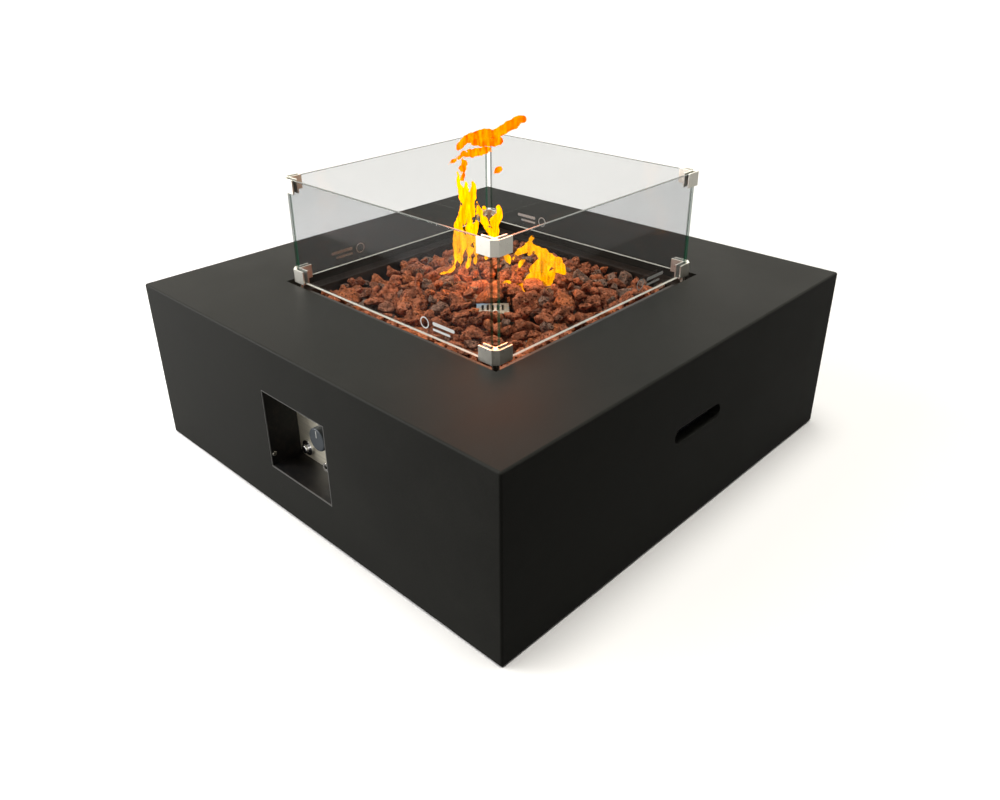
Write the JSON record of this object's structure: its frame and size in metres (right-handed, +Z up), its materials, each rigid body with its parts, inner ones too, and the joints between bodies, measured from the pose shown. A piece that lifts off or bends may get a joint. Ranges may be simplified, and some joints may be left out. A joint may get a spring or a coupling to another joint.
{
  "type": "gas fire pit table with glass wind guard",
  "caption": "Low square gas fire-pit table with a recessed pan of lava rock, a ring burner, a lift-off glass wind guard in corner clips, and a control recess with knob and igniter.",
  "frame": {"origin": "centre of the square base, on the ground", "axes": "+Z up out of the table top; -Y out of the face with the control recess; +X to the right seen from that face"},
  "size_m": [0.914, 0.914, 0.515],
  "materials": {
    "concrete": "painted cast concrete, satin",
    "rubber": "matt moulded rubber",
    "black_sheet": "satin black powder coat",
    "lava_rock": "porous, rough",
    "stainless": "brushed",
    "polished_clip": "polished, lightly brushed",
    "bright_screw": "bright",
    "brass": "turned",
    "aluminium_tube": "drawn",
    "copper_lead": "drawn copper",
    "silicone_lead": "matt silicone",
    "porcelain": "glazed",
    "knob": "matt moulded",
    "pointer": "matt infill",
    "black_plastic": "moulded",
    "chrome": "plated, bright",
    "battery_wrap": "shrink wrap",
    "spring_steel": "drawn wire",
    "glass": "clear float, polished edges",
    "clear_pad": "clear silicone"
  },
  "bodies": {
    "table": {"concrete_shell": "concrete", "foot_pads": "rubber", "burner_pan": "black_sheet", "lava_rock_bed": "lava_rock", "burner": "stainless", "burner_brackets": "stainless", "bracket_screws": "bright_screw", "burner_locknut": "brass", "air_mixer": "stainless", "orifice": "brass", "burner_hose": "stainless", "hose_nuts": "brass", "pilot_guard": "stainless", "pilot_bracket": "stainless", "pilot_hood": "brass", "thermocouple": "copper_lead", "spark_electrode": "porcelain", "pilot_tube": "aluminium_tube", "thermocouple_lead": "copper_lead", "ignition_lead": "silicone_lead", "line_clip": "stainless", "control_box": "black_sheet", "box_screws": "bright_screw", "control_panel": "stainless", "panel_screws": "bright_screw", "gas_valve": "brass", "valve_nut": "stainless", "valve_spring": "spring_steel", "igniter_body": "black_plastic", "igniter_bezel": "chrome", "igniter_spring": "spring_steel", "battery": "battery_wrap", "inlet_fitting": "stainless", "inlet_nut": "stainless", "inlet_pipe": "stainless"},
    "valve_plunger": {"valve_plunger": "brass"},
    "knob": {"valve_stem": "stainless", "control_knob": "knob", "knob_pointer": "pointer"},
    "igniter_button": {"igniter_button": "chrome"},
    "wind_guard": {"glass_front": "glass", "glass_right": "glass", "glass_back": "glass", "glass_left": "glass", "lower_clip_front_right": "polished_clip", "lower_clip_back_right": "polished_clip", "lower_clip_back_left": "polished_clip", "lower_clip_front_left": "polished_clip", "upper_clip_front_right": "polished_clip", "upper_clip_back_right": "polished_clip", "upper_clip_back_left": "polished_clip", "upper_clip_front_left": "polished_clip", "clip_pads": "clear_pad", "clip_screws": "bright_screw", "clip_posts": "stainless"}
  },
  "joints": [
    {"name": "knob_push", "type": "slide", "parent": "table", "child": "valve_plunger", "axis": [0, 1, 0], "range_m": [0, 0.004], "stiffness_N_per_m": 2500, "springref_m": -0.002, "deforming": ["valve_spring"]},
    {"name": "knob_turn", "type": "hinge", "parent": "valve_plunger", "child": "knob", "pos_m": [0, -0.41, 0.154], "axis": [0, -1, 0], "range_deg": [0, 180]},
    {"name": "igniter_push", "type": "slide", "parent": "table", "child": "igniter_button", "axis": [0, 1, 0], "range_m": [0, 0.004], "stiffness_N_per_m": 1500, "springref_m": -0.002, "deforming": ["igniter_spring"]},
    {"name": "wind_guard_lift", "type": "slide", "parent": "table", "child": "wind_guard", "axis": [0, 0, 1], "range_m": [0, 0.3]}
  ]
}
